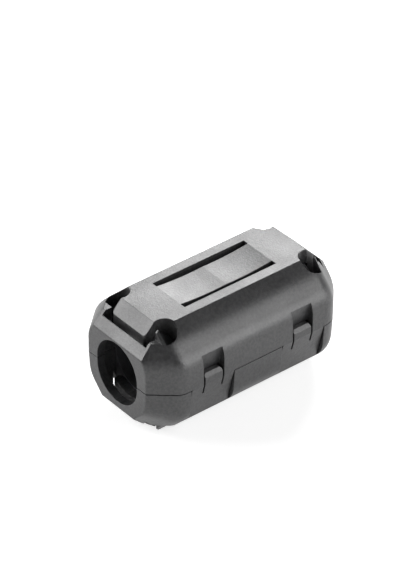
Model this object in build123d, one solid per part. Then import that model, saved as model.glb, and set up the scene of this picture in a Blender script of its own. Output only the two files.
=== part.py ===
from build123d import *
import math
import os

# Clip on ferrite bead: a hinged plastic case that closes round a cable and holds two half
# sleeves of ferrite. Millimetres. The bore runs along Y, +X is the latch side, and the
# origin is on the bore's axis, half way along, in the plane where the two halves meet.

# Ferrite sleeve, and the walls round it
ferrite_length = 28.0
ferrite_diameter = 15.2
ferrite_chamfer = 0.4
ferrite_clearance = 0.1
side_wall = 2.25
top_wall = 1.5
end_space = 3.5

# Case outline: how far its corners are cut off, and how its sides are rounded
upper_corner_cut = 4.75
lower_corner_cut = 4.75
lower_side_draft = 0.08
draft_blend_radius = 20.0
corner_radius = 4.0
parting_gap = 0.15

# Cable hole
cable_hole_width = 9.0
cable_hole_rise = 1.1
bore_step = 0.25
end_wall = 1.35

# Bevelled ends: what each leaves round the cable hole, and over what length it comes in
flat_bevel_length = 3.8
side_bevel_length = 3.9
upper_ring = 0.15
lower_ring = 1.1
front_side_ring = 2.05
front_upper_corner_ring = 2.7
front_lower_corner_ring = 2.0
rear_side_ring = 1.1
rear_upper_corner_ring = 1.0
rear_lower_corner_ring = 1.1
side_blend_radius = 3.0
end_edge_radius = 0.35

# Cable grips: a sprung flap at each end of each half, with a plate that reaches into the hole
grip_gap = 0.75
grip_width = 7.4
grip_plate = 1.5
grip_bite = 0.9
grip_corner_radius = 0.5
grip_side_gap = 1.2
flap_thickness = 1.2

# Pockets that free the flaps at their sides
pocket_radius = 1.75
pocket_offset = 0.4
pocket_depth = 4.4
rib_thickness = 0.4
shelf_drop = 2.0

# Leaf spring in the top, which presses on the ferrite
leaf_length = 16.6
leaf_width = 5.4
leaf_slit = 0.9
leaf_thickness = 0.8
leaf_end_slope = 7.0
leaf_ridge_slope = 2.5

# Skirts on the latch side, with their windows and spring fingers
skirt_width = 7.5
skirt_inset = 1.7
skirt_thickness = 1.1
skirt_draft = 0.25
skirt_gap = 0.15
window_width = 3.7
window_shift = 0.15
window_rise = 0.5
ramp_depth = 1.3
ramp_bottom = 1.4
finger_slot = 0.3
finger_top = 1.6
finger_bevel = 0.5
finger_corner_radius = 0.4
finger_root = 1.7
hook_depth = 0.25
hook_height = 0.5

# Catches of the lower half, behind the fingers
catch_width = 2.7
catch_height = 1.2
catch_nose = 0.6
catch_clearance = 0.05
catch_ferrite_gap = 0.1

# Hinge: rounded noses of the lower half turn in shallow seats of the upper half
hinge_offset = 0.45
hinge_nose_radius = 0.25
hinge_clearance = 0.02
hinge_strap_length = 9.0
hinge_strap_spacing = 14.0
hinge_strap_height = 1.3

cavity_radius = ferrite_diameter / 2 + ferrite_clearance
cavity_half_length = ferrite_length / 2 + ferrite_clearance
half_width = cavity_radius + side_wall
half_height = cavity_radius + top_wall
half_length = cavity_half_length + end_space
upper_sum = half_width + half_height - upper_corner_cut
lower_sum = half_width + half_height - lower_corner_cut
bevel_start = half_length - side_bevel_length
cable_hole_height = cable_hole_width + cable_hole_rise
hole_diagonal = cable_hole_width / 2 + cable_hole_rise / 2 / math.sqrt(2)
ferrite_bore = cable_hole_width + 2 * bore_step
flap_front = end_wall + grip_gap
grip_reach = cable_hole_height / 2 - grip_bite
grip_slot = grip_width / 2 + grip_side_gap
pocket_x = grip_slot + pocket_offset
shelf_height = half_height - shelf_drop
skirt_middle = bevel_start - skirt_inset - skirt_width / 2
window_middle = skirt_middle - window_shift
window_top = half_height - upper_corner_cut + window_rise
hinge_x = -half_width - hinge_offset
skirt_radius = half_width - skirt_thickness - hinge_x
skirt_drop = (lower_sum - half_width) / (1 - skirt_draft)
catch_room = side_wall - skirt_thickness - hook_depth
catch_thickness = catch_room - catch_clearance - catch_ferrite_gap
far = 2 * half_length


def prism(points, plane, start, end):
    # A closed outline on the given plane, from one distance along its normal to another.
    outline = make_face(Polyline(*points, close=True))
    return extrude(plane.offset(start) * outline, amount=end - start)


def along_y(points, start, end):
    # An outline of X and Z positions, from one place along Y to another.
    return prism(points, Plane.XZ, -end, -start)


def along_x(points, start, end):
    # An outline of Y and Z positions, from one place along X to another.
    return prism(points, Plane.YZ, start, end)


def block(x, y, z):
    # A box between two limits on each axis.
    size = [high - low for low, high in (x, y, z)]
    center = [(high + low) / 2 for low, high in (x, y, z)]
    return Pos(*center) * Box(*size)


def rod(radius, x, z, y):
    # A round bar along Y between two limits.
    middle = (y[0] + y[1]) / 2
    return Pos(x, middle, z) * Rot(90, 0, 0) * Cylinder(radius, y[1] - y[0])


def side_outline(side, upper, lower):
    # The cross-section before its flat top and bottom are cut: upright sides and 45 degree
    # corners that run on to a ridge.
    lower_corner = (lower - side) / (1 - lower_side_draft)
    right = [
        (side - lower_side_draft * lower_corner, -lower_corner),
        (side, 0),
        (side, upper - side),
    ]
    left = [(-x, z) for x, z in reversed(right)]
    face = make_face(Polyline((0, -lower), *right, (0, upper), *left, close=True))
    drafted = [v for v in face.vertices() if abs(v.Y) < 0.1]
    face = fillet(drafted, radius=draft_blend_radius)
    corners = [v for v in face.vertices() if abs(v.Y) > 1.5 and abs(v.X) > 1.5]
    return fillet(corners, radius=corner_radius)


def end_outline(side_ring, upper_corner_ring, lower_corner_ring):
    # The smaller outline that is left of the cross-section at an end face.
    side = cable_hole_width / 2 + side_ring
    upper = (hole_diagonal + upper_corner_ring) * math.sqrt(2)
    lower = (hole_diagonal + lower_corner_ring) * math.sqrt(2)
    return side_outline(side, upper, lower)


def flat_bevel(up):
    # How much the bevel takes off the height of the flat top, or bottom, at an end face.
    ring = upper_ring if up > 0 else lower_ring
    return half_height - cable_hole_height / 2 - ring


def cut_bevel(body, up, end):
    # Bevel one end of the flat top or bottom.
    edge = Vector(0, end * (half_length - flat_bevel_length), up * half_height)
    normal = Vector(0, end * flat_bevel(up), up * flat_bevel_length)
    return split(body, bisect_by=Plane(origin=edge, z_dir=normal), keep=Keep.BOTTOM)


def case_body():
    outline = side_outline(half_width, upper_sum, lower_sum)
    front = end_outline(front_side_ring, front_upper_corner_ring, front_lower_corner_ring)
    rear = end_outline(rear_side_ring, rear_upper_corner_ring, rear_lower_corner_ring)
    body = extrude(Plane.XZ * outline, amount=bevel_start, both=True)
    for end, end_face in ((-1, front), (1, rear)):
        inner = Plane.XZ.offset(-end * bevel_start) * outline
        outer = Plane.XZ.offset(-end * half_length) * end_face
        body += loft([inner, outer], ruled=True)
    creases = [e for e in body.edges() if abs(abs(e.center().Y) - bevel_start) < 0.001]
    body = fillet(creases, side_blend_radius)
    body &= block((-far, far), (-far, far), (-half_height, half_height))
    for end in (-1, 1):
        body = cut_bevel(body, 1, end)
        body = cut_bevel(body, -1, end)
    for face in (body.faces().sort_by(Axis.Y)[0], body.faces().sort_by(Axis.Y)[-1]):
        body = fillet(body.edges().filter_by(lambda e, f=face: is_edge_of(e, f)), end_edge_radius)
    return body


def is_edge_of(edge, face):
    return any(edge.is_same(other) for other in face.edges())


def flap_plan():
    # The flap's outline from above at the front end: square at its root, rounded in front.
    front = -half_length + flap_front
    root = -half_length + flat_bevel_length + pocket_radius
    half = grip_width / 2
    corners = [(-half, root), (-half, front), (half, front), (half, root)]
    face = make_face(Polyline(*corners, close=True))
    rounded = [v for v in face.vertices() if v.Y < root - 1]
    return fillet(rounded, radius=grip_corner_radius)


def end_cuts():
    # Everything cut from the top of the front end outside the flap.
    front = -half_length + end_wall
    back = -half_length + pocket_depth - pocket_radius + 2 * rib_thickness
    slot = block((-grip_slot, grip_slot), (front, back), (grip_reach, far))
    cuts = slot - extrude(flap_plan(), amount=far)
    for side in (-1, 1):
        # A rib stands between the pocket and the shelf on the latch side only.
        pocket_front = back if side > 0 else back - rib_thickness
        pocket = Pos(side * pocket_x, -half_length + pocket_depth, half_height)
        pocket = pocket * Cylinder(pocket_radius, 2 * (half_height - grip_reach))
        ahead = block((-far, far), (-far, pocket_front), (0, far))
        bridge_y = (back - 0.01, -half_length + pocket_depth)
        bridge_x = sorted((side * grip_width / 2, side * pocket_x))
        bridge = block(bridge_x, bridge_y, (grip_reach, far))
        cuts += (pocket - ahead) + bridge
        shelf_x = sorted((side * grip_slot, side * far))
        cuts += block(shelf_x, (-far, back - rib_thickness), (shelf_height, far))
    return cuts


def end_chamber(up):
    # The hollow under the flap, with the grip's plate left standing in it.
    slope = flat_bevel(up) / flat_bevel_length
    front = -half_length + end_wall
    back = -cavity_half_length
    ceiling = half_height - flat_bevel(up) - flap_thickness * math.hypot(1, slope)
    roof = [
        (front, 0),
        (front, ceiling + slope * end_wall),
        (back, ceiling + slope * (back + half_length)),
        (back, 0),
    ]
    chamber = along_x(roof, -grip_slot, grip_slot)
    plate_y = (-half_length + flap_front, -half_length + flap_front + grip_plate)
    plate_x = (-grip_width / 2, grip_width / 2)
    return chamber - block(plate_x, plate_y, (grip_reach, far))


def cable_hole():
    # A tall hole through the end walls: two half circles joined by short straight sides.
    outline = SlotOverall(cable_hole_height, cable_hole_width, rotation=90)
    return extrude(Plane.XZ * outline, amount=far, both=True)


def hollow():
    # The inside of the closed case: ferrite seat, cable hole, and the cuts at both ends.
    seat = rod(cavity_radius, 0, 0, (-cavity_half_length, cavity_half_length))
    cuts = end_cuts()
    upper = cuts + end_chamber(1)
    lower = mirror(cuts + end_chamber(-1), about=Plane.XY)
    front = upper + lower
    return seat + cable_hole() + front + mirror(front, about=Plane.XZ)


def leaf_arc(offset):
    # Half of the leaf's wave, lowered by an offset: steep at its end, then up to the ridge.
    half = leaf_length / 2
    steep = math.radians(leaf_end_slope)
    shallow = math.radians(leaf_ridge_slope)
    radius = half / (math.sin(steep) + math.sin(shallow))
    center_y = -half + radius * math.sin(steep)
    center_z = half_height - offset + radius * math.cos(steep)
    start = (-half, half_height - offset)
    lowest = (center_y, center_z - radius)
    ridge = (0, center_z - radius * math.cos(shallow))
    return start, lowest, ridge


def leaf_spring():
    start, lowest, ridge = leaf_arc(0)
    under_start, under_lowest, under_ridge = leaf_arc(leaf_thickness)
    root = (-leaf_length / 2 - leaf_slit, half_height)
    under_root = (root[0], half_height - leaf_thickness)
    top = [Line(root, start), ThreePointArc(start, lowest, ridge)]
    top += [Line(ridge, under_ridge), ThreePointArc(under_ridge, under_lowest, under_start)]
    top += [Line(under_start, under_root), Line(under_root, root)]
    half = extrude(Plane.YZ * make_face(top), amount=leaf_width / 2, both=True)
    return half + mirror(half, about=Plane.XZ)


def leaf_opening():
    width = leaf_width / 2 + leaf_slit
    return block((-width, width), (-leaf_length / 2, leaf_length / 2), (0, far))


def skirt_span(end, margin):
    # The stretch along Y of one skirt, widened by a margin.
    middle = end * skirt_middle
    reach = skirt_width / 2 + margin
    return middle - reach, middle + reach


def skirt(end):
    # A skirt hangs from the upper half. Its inner face is round about the hinge.
    outer = [
        (0, 0),
        (0, parting_gap + 0.3),
        (half_width, parting_gap + 0.3),
        (half_width, 0),
        (half_width - skirt_draft * skirt_drop, -skirt_drop),
        (0, -skirt_drop),
    ]
    span = skirt_span(end, 0)
    return along_y(outer, *span) - rod(skirt_radius, hinge_x, 0, (-far, far))


def skirt_recess(end):
    # What the lower half gives up to the skirt, with the gap round it.
    outer = [(0, far), (far, far), (far, -skirt_drop - skirt_gap), (0, -skirt_drop - skirt_gap)]
    span = skirt_span(end, skirt_gap)
    return along_y(outer, *span) - rod(skirt_radius - skirt_gap, hinge_x, 0, (-far, far))


def window_cut(end):
    # The opening in a skirt round its finger, with the ramp above it.
    middle = end * window_middle
    span = (middle - window_width / 2, middle + window_width / 2)
    ramp_x = half_width - ramp_depth
    ramp = [
        (ramp_x, ramp_bottom),
        (upper_sum - window_top, window_top),
        (far, window_top),
        (far, ramp_bottom),
    ]
    cut = along_y(ramp, *span)
    cut += block((cavity_radius - 0.5, far), span, (-finger_root, ramp_bottom + 0.001))
    return cut - finger(end)


def finger(end):
    # A springy finger in the skirt, free at its top, with a hook on its inner side.
    middle = end * window_middle
    reach = window_width / 2 - finger_slot
    top = [
        (0, -skirt_drop),
        (0, finger_top),
        (half_width - finger_bevel, finger_top),
        (half_width, finger_top - finger_bevel),
        (half_width, 0),
        (half_width - skirt_draft * skirt_drop, -skirt_drop),
    ]
    body = along_y(top, middle - reach, middle + reach)
    body -= rod(skirt_radius, hinge_x, 0, (-far, far))
    corners = body.edges().filter_by(Axis.X).sort_by(Axis.Z)[-2:]
    body = fillet(corners, finger_corner_radius)
    hook_radius = skirt_radius - hook_depth
    hook = block((0, half_width - finger_bevel), (middle - reach, middle + reach), (0, hook_height))
    return body + (hook - rod(hook_radius, hinge_x, 0, (-far, far)))


def catch(end):
    # A tab behind each finger, whose nose holds the finger's hook down.
    middle = end * window_middle
    span = (middle - catch_width / 2, middle + catch_width / 2)
    nose_radius = skirt_radius - catch_clearance
    tab_radius = skirt_radius - hook_depth - catch_clearance
    inner = hinge_x + tab_radius - catch_thickness
    tab = block((inner, half_width), span, (-finger_root, catch_height))
    tab = tab & rod(tab_radius, hinge_x, 0, span)
    nose_bottom = catch_height - catch_nose
    nose_outline = [
        (inner, nose_bottom),
        (half_width, nose_bottom),
        (half_width, catch_height - catch_nose / 2),
        (inner + catch_thickness / 2, catch_height),
        (inner, catch_height),
    ]
    nose = along_y(nose_outline, *span) & rod(nose_radius, hinge_x, 0, span)
    return tab + nose


def hinge_strap(end, up):
    # A short lip from the side wall to the hinge line.
    middle = end * hinge_strap_spacing / 2
    span = (middle - hinge_strap_length / 2, middle + hinge_strap_length / 2)
    # It is rooted half way into the wall beside the ferrite.
    inside = -(half_width + cavity_radius) / 2
    edge = up * parting_gap / 2
    outline = [
        (inside, edge),
        (hinge_x, edge),
        (hinge_x, up * hinge_nose_radius),
        (-half_width, up * hinge_strap_height),
        (inside, up * hinge_strap_height),
    ]
    lip = along_y(outline, *span)
    if up > 0:
        return lip - rod(hinge_nose_radius + hinge_clearance, hinge_x, 0, (-far, far))
    return lip + rod(hinge_nose_radius, hinge_x, 0, span)


def upper_shell(body, inside):
    shell = split(body, bisect_by=Plane.XY.offset(parting_gap / 2), keep=Keep.TOP)
    shell = shell - inside - leaf_opening()
    shell += leaf_spring()
    for end in (-1, 1):
        shell += skirt(end)
        shell -= window_cut(end)
        shell += hinge_strap(end, 1)
    return shell


def lower_shell(body, inside):
    shell = split(body, bisect_by=Plane.XY.offset(-parting_gap / 2), keep=Keep.BOTTOM)
    shell = shell - inside
    for end in (-1, 1):
        shell -= skirt_recess(end)
        shell += catch(end)
        shell += hinge_strap(end, -1)
    return shell


def ferrite_half(up):
    span = (-ferrite_length / 2, ferrite_length / 2)
    sleeve = rod(ferrite_diameter / 2, 0, 0, span)
    sleeve = chamfer(sleeve.edges().filter_by(GeomType.CIRCLE), ferrite_chamfer)
    sleeve -= rod(ferrite_bore / 2, 0, 0, (-far, far))
    keep = Keep.TOP if up > 0 else Keep.BOTTOM
    return split(sleeve, bisect_by=Plane.XY, keep=keep)


def main():
    os.makedirs("parts", exist_ok=True)
    body = case_body()
    inside = hollow()
    nodes = {
        "upper_shell": upper_shell(body, inside),
        "lower_shell": lower_shell(body, inside),
        "upper_ferrite_half": ferrite_half(1),
        "lower_ferrite_half": ferrite_half(-1),
    }
    for name, shape in nodes.items():
        export_step(shape, f"parts/{name}.step")


main()
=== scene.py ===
import math

import bpy
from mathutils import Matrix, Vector


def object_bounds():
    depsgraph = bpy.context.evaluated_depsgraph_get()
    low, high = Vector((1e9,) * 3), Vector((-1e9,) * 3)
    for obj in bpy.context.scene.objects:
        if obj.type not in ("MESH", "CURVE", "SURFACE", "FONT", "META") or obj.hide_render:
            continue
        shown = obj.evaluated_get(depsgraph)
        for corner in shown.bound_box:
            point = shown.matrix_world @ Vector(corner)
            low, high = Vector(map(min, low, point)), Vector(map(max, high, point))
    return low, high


# Clip on ferrite bead: black moulded plastic case round two half sleeves of ferrite, seen from
# its latch side and front end. Lengths are in metres, and mm stands for one millimetre.

mm = 0.001

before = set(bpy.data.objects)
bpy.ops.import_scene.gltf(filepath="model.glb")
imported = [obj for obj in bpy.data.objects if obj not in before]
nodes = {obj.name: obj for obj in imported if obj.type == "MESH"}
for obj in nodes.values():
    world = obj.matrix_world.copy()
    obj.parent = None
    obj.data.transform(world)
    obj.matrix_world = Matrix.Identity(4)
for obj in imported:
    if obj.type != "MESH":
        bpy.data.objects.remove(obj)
cad_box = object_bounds()

# Where the photograph was taken from, and how large it shows the bead
camera_azimuth = math.radians(50.8)
camera_elevation = math.radians(36.7)
camera_distance = 547 * mm
pixels_per_mm = 7.01
image_width = 400
image_height = 570
origin_in_image = (214.4, 325.6)
sensor_height = 36.0
nearest_seen = 0.01

# Rounding that the moulding tool leaves on every edge of the case
edge_radius = 0.12 * mm
edge_samples = 6

# Soft bend of the case's long 45 degree facets, which turn over towards the flat top and bottom
facet_turn = math.radians(15)
bend_middle = 0.2 * mm
bend_half_width = 1.7 * mm
slant_of_no_bend = 0.1
slant_of_full_bend = 0.49

# Distances at which the marks of the two materials repeat
nylon_grain_pitch = 0.22 * mm
nylon_speck_pitch = 0.45 * mm
nylon_wave_pitch = 4.0 * mm
ferrite_grain_pitch = 0.4 * mm
ferrite_pit_pitch = 0.7 * mm

# White floor just under the bead, which glows to the camera and less so in reflections
floor_height = cad_box[0][2]
floor_gap = 0.02 * mm
floor_width = 2.0
floor_glow = 0.66
glow_share_in_reflections = 0.6

# White sweep round the bead, which fades into a dim ceiling between two heights of a unit sphere
sweep_brightness = 0.9
ceiling_brightness = 0.05
fade_start = 0.05
fade_end = 0.5

# Point that the lamps face
bead_middle = Vector((0.0, 0.0, 0.0))


def linear(hex_color):
    # An sRGB hex colour as linear red, green, blue and alpha.
    channels = [int(hex_color[i : i + 2], 16) / 255 for i in (1, 3, 5)]
    return [c / 12.92 if c <= 0.04045 else ((c + 0.055) / 1.055) ** 2.4 for c in channels] + [1.0]


def add_node(tree, kind, settings=None, inputs=None, links=None):
    # Add a node, set its properties and sockets, and join it to other nodes' outputs.
    node = tree.nodes.new(kind)
    for name, value in (settings or {}).items():
        setattr(node, name, value)
    for name, value in (inputs or {}).items():
        node.inputs[name].default_value = value
    for name, output in (links or {}).items():
        tree.links.new(output, node.inputs[name])
    return node


def arithmetic(tree, operation, inputs=None, links=None):
    # The result of one operation on numbers and on other nodes' outputs.
    node = add_node(tree, "ShaderNodeMath", {"operation": operation}, inputs, links)
    return node.outputs[0]


def remap(tree, value, low, high, to_low, to_high):
    # A value carried from the range low to high over to another range, and held at its ends.
    node = add_node(
        tree,
        "ShaderNodeMapRange",
        inputs={"From Min": low, "From Max": high, "To Min": to_low, "To Max": to_high},
        links={"Value": value},
    )
    return node.outputs["Result"]


def noise(tree, place, pitch, detail, roughness):
    # Cloudy marks that fill the solid and repeat at about the given pitch.
    node = add_node(
        tree,
        "ShaderNodeTexNoise",
        inputs={"Scale": 1 / pitch, "Detail": detail, "Roughness": roughness},
        links={"Vector": place.outputs["Object"]},
    )
    return node.outputs["Fac"]


def blend(tree, factor, dark, light):
    # A colour that goes from dark to light as the factor goes from nought to one.
    node = add_node(
        tree,
        "ShaderNodeMix",
        settings={"data_type": "RGBA"},
        links={"Factor": factor},
    )
    node.inputs["A"].default_value = linear(dark)
    node.inputs["B"].default_value = linear(light)
    return node.outputs["Result"]


def relief(tree, height, strength, distance, under=None):
    # The normal of a surface with a relief on it, on top of the relief that it already has.
    links = {"Height": height}
    if under is not None:
        links["Normal"] = under
    node = add_node(
        tree,
        "ShaderNodeBump",
        inputs={"Strength": strength, "Distance": distance},
        links=links,
    )
    return node.outputs["Normal"]


def new_material(name):
    material = bpy.data.materials.new(name)
    material.use_nodes = True
    material.node_tree.nodes.clear()
    return material, material.node_tree


def show_surface(tree, surface):
    add_node(tree, "ShaderNodeOutputMaterial", links={"Surface": surface})


def share_of_bend(tree, place):
    # One on surfaces at about 45 degrees and nought on flat and upright ones. The slant is the
    # normal's X part times its Z part, which is 0.5 on a long facet.
    facing = add_node(tree, "ShaderNodeSeparateXYZ", links={"Vector": place.outputs["Normal"]})
    slant = arithmetic(
        tree,
        "MULTIPLY",
        links={0: facing.outputs["X"], 1: facing.outputs["Z"]},
    )
    slant_size = arithmetic(tree, "ABSOLUTE", links={0: slant})
    return remap(
        tree,
        slant_size,
        low=slant_of_no_bend,
        high=slant_of_full_bend,
        to_low=0.0,
        to_high=1.0,
    )


def facet_bend(tree, place, edge_normal):
    # The soft bend of the long facets, as a height that falls towards the flat top and bottom.
    # Its middle is as much further up or down than out to the side as bend_middle says.
    position = add_node(tree, "ShaderNodeSeparateXYZ", links={"Vector": place.outputs["Object"]})
    sideways = arithmetic(tree, "ABSOLUTE", links={0: position.outputs["X"]})
    upward = arithmetic(tree, "ABSOLUTE", links={0: position.outputs["Z"]})
    lean = arithmetic(tree, "SUBTRACT", links={0: sideways, 1: upward})
    across = arithmetic(
        tree,
        "MULTIPLY_ADD",
        inputs={1: math.sqrt(0.5), 2: bend_middle * math.sqrt(0.5)},
        links={0: lean},
    )
    bent = arithmetic(
        tree,
        "SMOOTH_MIN",
        inputs={1: 0.0, 2: bend_half_width},
        links={0: across},
    )
    fall = arithmetic(tree, "MULTIPLY", inputs={1: math.tan(facet_turn)}, links={0: bent})
    height = arithmetic(tree, "MULTIPLY", links={0: fall, 1: share_of_bend(tree, place)})
    return relief(tree, height, strength=1.0, distance=1.0, under=edge_normal)


def moulded_nylon():
    # Black nylon from an eroded steel mould. A grain of about 0.2 mm breaks up the sheen, specks
    # of about 0.4 mm stand up a little and are slightly lighter, and slow waves in the wall
    # thickness make the reflections wander slightly.
    material, tree = new_material("moulded_black_nylon")
    place = add_node(tree, "ShaderNodeTexCoord")
    rounded_edges = add_node(
        tree,
        "ShaderNodeBevel",
        settings={"samples": edge_samples},
        inputs={"Radius": edge_radius},
    )
    bend = facet_bend(tree, place, rounded_edges.outputs["Normal"])
    grain = noise(tree, place, nylon_grain_pitch, detail=3.0, roughness=0.6)
    specks = noise(tree, place, nylon_speck_pitch, detail=2.0, roughness=0.7)
    waves = noise(tree, place, nylon_wave_pitch, detail=2.0, roughness=0.5)
    lightness = remap(tree, specks, low=0.38, high=0.62, to_low=0.0, to_high=1.0)
    wavy = relief(tree, waves, strength=0.15, distance=0.05 * mm, under=bend)
    specked = relief(tree, specks, strength=0.5, distance=0.025 * mm, under=wavy)
    grained = relief(tree, grain, strength=0.6, distance=0.04 * mm, under=specked)
    shader = add_node(
        tree,
        "ShaderNodeBsdfPrincipled",
        inputs={"IOR": 1.7, "Metallic": 0.0},
        links={
            "Base Color": blend(tree, lightness, dark="#2e2e2f", light="#404041"),
            "Roughness": remap(tree, waves, low=0.3, high=0.7, to_low=0.31, to_high=0.38),
            "Normal": grained,
        },
    )
    show_surface(tree, shader.outputs["BSDF"])
    return material


def ground_ferrite():
    # Sintered nickel zinc ferrite: a dense dark grey ceramic with small pits and a dull sheen.
    material, tree = new_material("ground_nickel_zinc_ferrite")
    place = add_node(tree, "ShaderNodeTexCoord")
    grain = noise(tree, place, ferrite_grain_pitch, detail=4.0, roughness=0.7)
    pits = add_node(
        tree,
        "ShaderNodeTexVoronoi",
        inputs={"Scale": 1 / ferrite_pit_pitch},
        links={"Vector": place.outputs["Object"]},
    )
    height = remap(tree, pits.outputs["Distance"], low=0.05, high=0.25, to_low=0.0, to_high=1.0)
    shader = add_node(
        tree,
        "ShaderNodeBsdfPrincipled",
        inputs={"IOR": 2.0, "Metallic": 0.0, "Roughness": 0.45},
        links={
            "Base Color": blend(tree, grain, dark="#2c2c2f", light="#3d3d41"),
            "Normal": relief(tree, height, strength=0.4, distance=0.03 * mm),
        },
    )
    show_surface(tree, shader.outputs["BSDF"])
    return material


def give_material(node, material):
    node.data.materials.clear()
    node.data.materials.append(material)


def dress_nodes():
    nylon = moulded_nylon()
    ferrite = ground_ferrite()
    for name, node in nodes.items():
        give_material(node, ferrite if "ferrite" in name else nylon)


def looked_at(tree, path):
    # One for rays from the camera or through a see-through surface, and nought for all others.
    return arithmetic(
        tree,
        "MAXIMUM",
        links={0: path.outputs["Is Camera Ray"], 1: path.outputs["Is Transmission Ray"]},
    )


def backdrop_paper():
    # White paper whose glow leaves only the contact shadow to be seen on it.
    material, tree = new_material("white_backdrop_paper")
    paper = add_node(
        tree,
        "ShaderNodeBsdfDiffuse",
        inputs={"Color": linear("#ececec")},
    )
    path = add_node(tree, "ShaderNodeLightPath")
    share = arithmetic(
        tree,
        "MULTIPLY_ADD",
        inputs={1: glow_share_in_reflections},
        links={0: path.outputs["Is Glossy Ray"], 2: looked_at(tree, path)},
    )
    glow = add_node(
        tree,
        "ShaderNodeEmission",
        inputs={"Color": linear("#ffffff")},
        links={"Strength": arithmetic(tree, "MULTIPLY", inputs={1: floor_glow}, links={0: share})},
    )
    both = add_node(
        tree,
        "ShaderNodeAddShader",
        links={0: paper.outputs["BSDF"], 1: glow.outputs["Emission"]},
    )
    show_surface(tree, both.outputs["Shader"])
    return material


def white_floor():
    bpy.ops.object.select_all(action="DESELECT")
    bpy.ops.mesh.primitive_plane_add(size=floor_width, location=(0, 0, floor_height - floor_gap))
    floor = bpy.context.object
    floor.name = "floor"
    give_material(floor, backdrop_paper())


def white_surroundings():
    # The bead reflects the sweep and the ceiling, and the camera sees white everywhere.
    world = bpy.data.worlds.new("white_surroundings")
    bpy.context.scene.world = world
    world.use_nodes = True
    tree = world.node_tree
    tree.nodes.clear()
    sky = add_node(tree, "ShaderNodeTexCoord")
    place = add_node(tree, "ShaderNodeSeparateXYZ", links={"Vector": sky.outputs["Generated"]})
    sweep = remap(
        tree,
        place.outputs["Z"],
        low=fade_start,
        high=fade_end,
        to_low=sweep_brightness,
        to_high=ceiling_brightness,
    )
    path = add_node(tree, "ShaderNodeLightPath")
    strength = arithmetic(tree, "MAXIMUM", links={0: sweep, 1: looked_at(tree, path)})
    light = add_node(
        tree,
        "ShaderNodeBackground",
        inputs={"Color": linear("#ffffff")},
        links={"Strength": strength},
    )
    add_node(tree, "ShaderNodeOutputWorld", links={"Surface": light.outputs["Background"]})


def direction(azimuth, elevation):
    # The direction from the bead to a place round it: azimuth 0 is in front of the front end,
    # and 90 degrees is on the latch side.
    level = math.cos(elevation)
    return Vector((math.sin(azimuth) * level, -math.cos(azimuth) * level, math.sin(elevation)))


def turn_towards(thing, target):
    away = thing.location - target
    thing.rotation_euler = away.to_track_quat("Z", "Y").to_euler()


def softbox(name, azimuth, elevation, distance, size, power):
    # A square diffused lamp that faces the bead.
    lamp = bpy.data.lights.new(name, "AREA")
    lamp.size = size
    lamp.energy = power
    holder = bpy.data.objects.new(name, lamp)
    bpy.context.scene.collection.objects.link(holder)
    holder.location = direction(math.radians(azimuth), math.radians(elevation)) * distance
    turn_towards(holder, bead_middle)


def studio_lamps():
    # The first lamp shines on the top, the second on the front flap and the third on the facet.
    softbox("back_left_softbox", azimuth=222, elevation=34, distance=0.65, size=0.30, power=2.5)
    softbox("front_left_softbox", azimuth=-46, elevation=33, distance=0.65, size=0.34, power=2.3)
    softbox("right_softbox", azimuth=125, elevation=25, distance=0.7, size=0.53, power=2.9)


def photograph_camera():
    data = bpy.data.cameras.new("photograph_camera")
    data.sensor_fit = "VERTICAL"
    data.sensor_height = sensor_height
    focal_pixels = pixels_per_mm * camera_distance / mm
    data.lens = focal_pixels * sensor_height / image_height
    data.clip_start = nearest_seen
    camera = bpy.data.objects.new("photograph_camera", data)
    bpy.context.scene.collection.objects.link(camera)
    toward = direction(camera_azimuth, camera_elevation)
    right = Vector((math.cos(camera_azimuth), math.sin(camera_azimuth), 0))
    up = toward.cross(right)
    shift_right = (image_width / 2 - origin_in_image[0]) / pixels_per_mm * mm
    shift_up = (origin_in_image[1] - image_height / 2) / pixels_per_mm * mm
    target = right * shift_right + up * shift_up
    camera.location = toward * camera_distance
    turn_towards(camera, target)
    bpy.context.scene.camera = camera


dress_nodes()
white_floor()
white_surroundings()
studio_lamps()
photograph_camera()
bpy.context.scene.view_settings.view_transform = "Standard"
